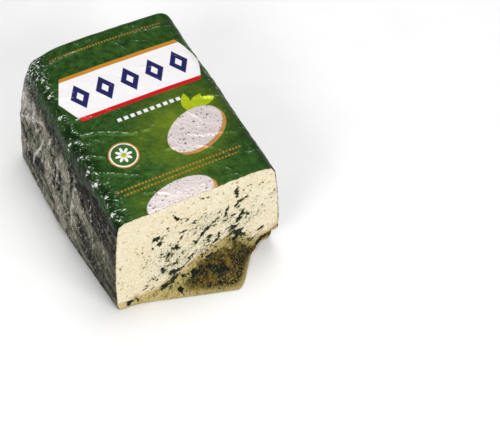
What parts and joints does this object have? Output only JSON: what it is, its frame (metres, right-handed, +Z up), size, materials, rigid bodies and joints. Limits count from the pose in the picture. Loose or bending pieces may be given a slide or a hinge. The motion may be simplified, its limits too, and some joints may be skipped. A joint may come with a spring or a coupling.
{
  "type": "foil-wrapped blue cheese block, cut at one end",
  "caption": "Block of blue cheese in crumpled green and silver foil, cut across at one end to show the marbled inside, with a torn foot low on the cut face.",
  "frame": {"origin": "under the middle of the whole block, on the surface that it rests on", "axes": "+Y from the cut face to the wrapped end, along the block; +Z up; +X to the right when the cut face is seen from the front"},
  "size_m": [0.1376, 0.1868, 0.1067],
  "materials": {
    "cheese": null,
    "foil": "crumpled aluminium foil, printed green over the top and bare grey silver on the sides, end and underside, semi-gloss"
  },
  "bodies": {
    "root": {"cheese": "cheese", "foil_wrap": "foil"}
  },
  "joints": []
}
